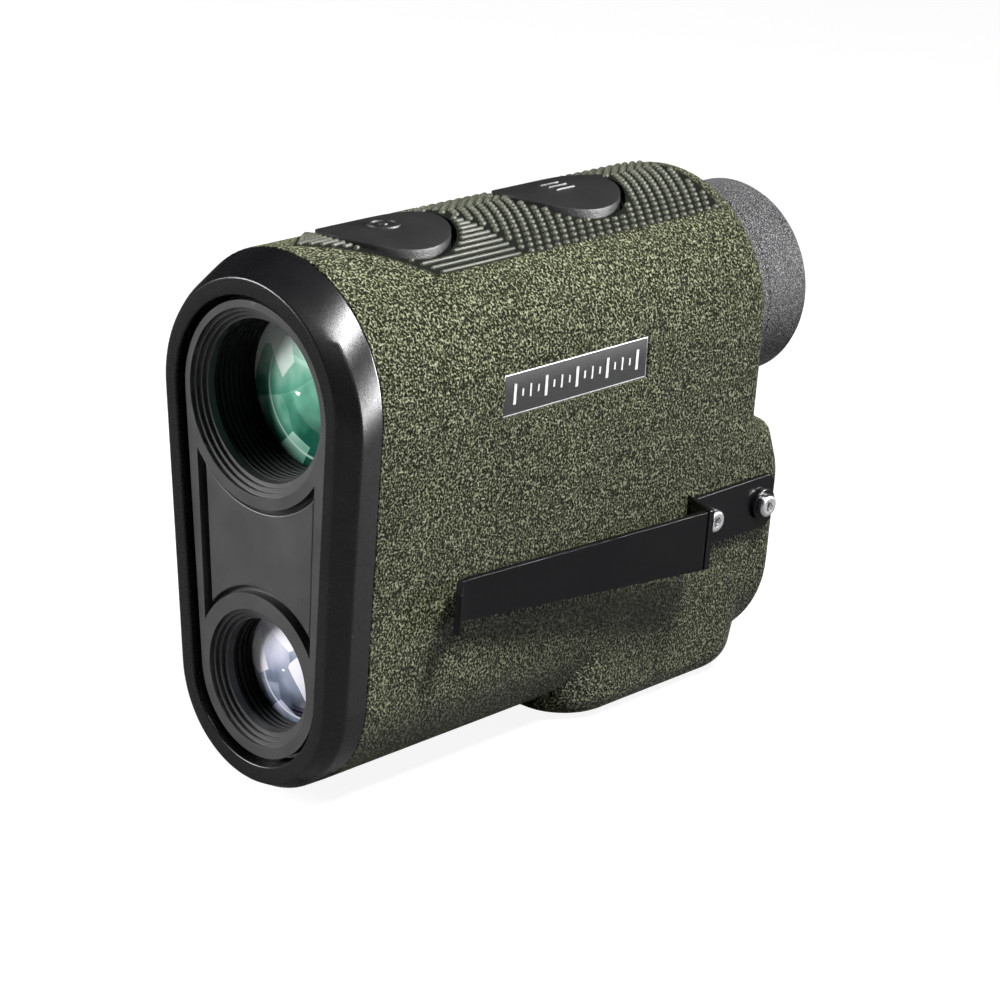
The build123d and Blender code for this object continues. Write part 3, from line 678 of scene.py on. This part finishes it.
floor_mesh = bpy.data.meshes.new("floor")
floor_mesh.from_pydata([(-FLOOR_HALF, -FLOOR_HALF, 0), (FLOOR_HALF, -FLOOR_HALF, 0),
                        (FLOOR_HALF, FLOOR_HALF, 0), (-FLOOR_HALF, FLOOR_HALF, 0)],
                       [], [(0, 1, 2, 3)])
floor = bpy.data.objects.new("floor", floor_mesh)
floor.location.z = -FLOOR_DROP
bpy.context.scene.collection.objects.link(floor)
ground = bpy.data.materials.new("floor_look")
ground.use_nodes = True
tree = ground.node_tree
tree.nodes.clear()
matt = tree.nodes.new("ShaderNodeBsdfDiffuse")
matt.inputs["Color"].default_value = (FLOOR_GREY, FLOOR_GREY, FLOOR_GREY, 1)
glow = tree.nodes.new("ShaderNodeEmission")
glow.inputs["Strength"].default_value = FLOOR_GLOW
path = tree.nodes.new("ShaderNodeLightPath")
none = tree.nodes.new("ShaderNodeEmission")
none.inputs["Strength"].default_value = 0
seen = tree.nodes.new("ShaderNodeMixShader")
total = tree.nodes.new("ShaderNodeAddShader")
tree.links.new(path.outputs["Is Camera Ray"], seen.inputs[0])
tree.links.new(none.outputs[0], seen.inputs[1])
tree.links.new(glow.outputs[0], seen.inputs[2])
tree.links.new(matt.outputs[0], total.inputs[0])
tree.links.new(seen.outputs[0], total.inputs[1])
tree.links.new(total.outputs[0], tree.nodes.new("ShaderNodeOutputMaterial").inputs[0])
floor_mesh.materials.append(ground)


def softbox(name, place, aim, wide, tall, power):
    """Rectangular lamp at place, turned to aim; sizes in metres, power in watts."""
    data = bpy.data.lights.new(name, "AREA")
    data.shape = "RECTANGLE"
    data.size = wide
    data.size_y = tall
    data.energy = power
    obj = bpy.data.objects.new(name, data)
    obj.location = place
    obj.rotation_euler = (Vector(aim) - Vector(place)).to_track_quat("-Z", "Y").to_euler()
    bpy.context.scene.collection.objects.link(obj)
    return obj


# The key is strong enough for the long highlight on the bezel's side, and would wash out the
# rubber, so it gives highlights only and no diffuse light.
key = softbox("key", (0.80, 0.62, 0.24), (0, 0, 0.05), 0.24, 0.40, 100)
key.visible_diffuse = False
softbox("side", (0.21, -0.04, 0.38), (0.02, 0, 0.06), 0.10, 0.10, 3.9)
softbox("front_fill", (-0.70, -0.80, 0.36), (0, 0, 0.04), 0.45, 0.45, 19)
softbox("overhead", (0.0, 0.2, 1.5), (0.05, 0, 0), 1.2, 1.2, 0.9)

world = bpy.data.worlds.new("world")
bpy.context.scene.world = world
world.use_nodes = True
tree = world.node_tree
plain = tree.nodes["Background"]
plain.inputs["Color"].default_value = (1, 1, 1, 1)
plain.inputs["Strength"].default_value = WORLD_LIGHT
# past the floor's far edge the camera alone sees a backdrop nearly as white as the floor
sky = tree.nodes.new("ShaderNodeBackground")
sky.inputs["Color"].default_value = (1, 1, 1, 1)
sky.inputs["Strength"].default_value = BACKDROP_GLOW
sight = tree.nodes.new("ShaderNodeLightPath")
backdrop = tree.nodes.new("ShaderNodeMixShader")
tree.links.new(sight.outputs["Is Camera Ray"], backdrop.inputs[0])
tree.links.new(plain.outputs[0], backdrop.inputs[1])
tree.links.new(sky.outputs[0], backdrop.inputs[2])
tree.links.new(backdrop.outputs[0], tree.nodes["World Output"].inputs[0])
bpy.context.scene.view_settings.view_transform = "Standard"
